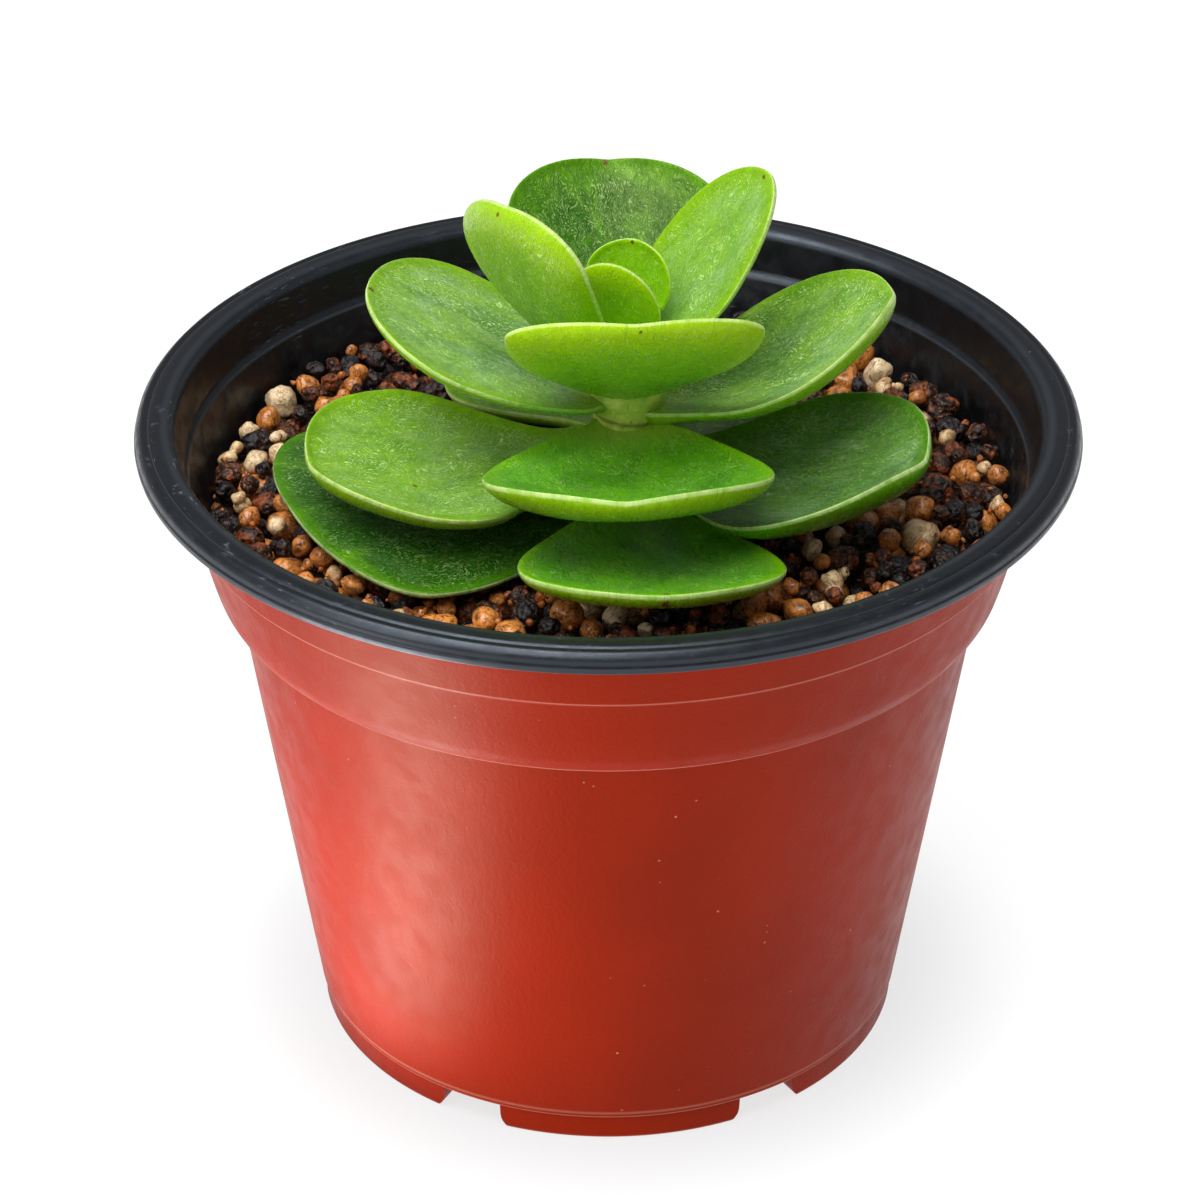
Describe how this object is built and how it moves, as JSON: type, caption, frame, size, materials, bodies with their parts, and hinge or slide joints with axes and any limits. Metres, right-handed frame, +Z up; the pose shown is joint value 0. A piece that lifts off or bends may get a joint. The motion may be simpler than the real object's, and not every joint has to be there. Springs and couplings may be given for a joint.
{
  "type": "potted portulaca molokiniensis",
  "caption": "Young succulent with stacked, spoon-shaped green leaves in gritty soil, in a round red and black nursery pot with a rolled rim and a notched foot.",
  "frame": {"origin": "centre of the pot's underside, level with the bottom of its foot ring", "axes": "+Z up along the pot, +X to the right and -Y to the front, which is the side the picture looks at"},
  "size_m": [0.12, 0.12, 0.12],
  "materials": {
    "pot_plastic": "satin",
    "soil": "matte",
    "stem": "satin",
    "leaf": "satin"
  },
  "bodies": {
    "root": {"pot": "pot_plastic", "soil": "soil", "stem": "stem", "leaf_centre_back": "leaf", "leaf_centre_front": "leaf", "leaf_upper_left": "leaf", "leaf_upper_right": "leaf", "leaf_back_top": "leaf", "leaf_front_upper": "leaf", "leaf_mid_left": "leaf", "leaf_mid_right": "leaf", "leaf_front_mid": "leaf", "leaf_back_mid": "leaf", "leaf_lower_left": "leaf", "leaf_lower_right": "leaf", "leaf_lowest_front": "leaf", "leaf_lowest_left": "leaf", "leaf_lowest_back": "leaf", "leaf_lowest_right": "leaf"}
  },
  "joints": []
}
